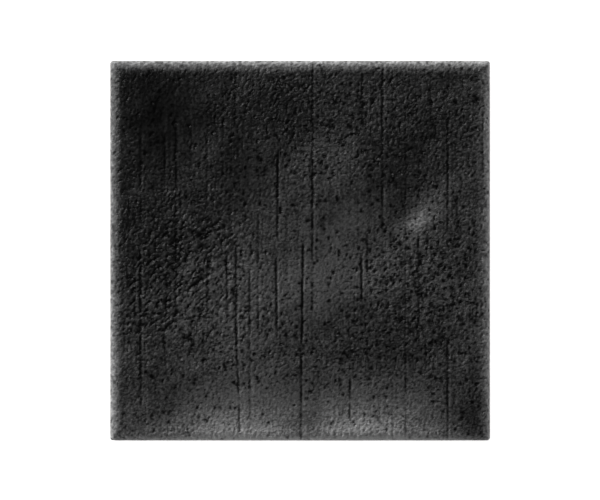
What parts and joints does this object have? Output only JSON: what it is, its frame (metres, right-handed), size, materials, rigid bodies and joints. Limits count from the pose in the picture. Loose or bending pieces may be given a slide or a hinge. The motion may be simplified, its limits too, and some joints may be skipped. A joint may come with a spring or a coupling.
{
  "type": "ceramic wall tile",
  "caption": "Square ceramic wall tile with a black satin glaze on a pitted, hand-pressed face, softly rolled edges, and a ribbed back that takes the adhesive.",
  "frame": {"origin": "centre of the tile's back, on the plane of its ribs and border, which it lies on", "axes": "+Z out of the glazed face; X across the tile and Y up it as it stands on a wall, along its sides"},
  "size_m": [0.13, 0.13, 0.008],
  "materials": {
    "black_glaze": "satin"
  },
  "bodies": {
    "root": {"wall_tile": "black_glaze"}
  },
  "joints": []
}
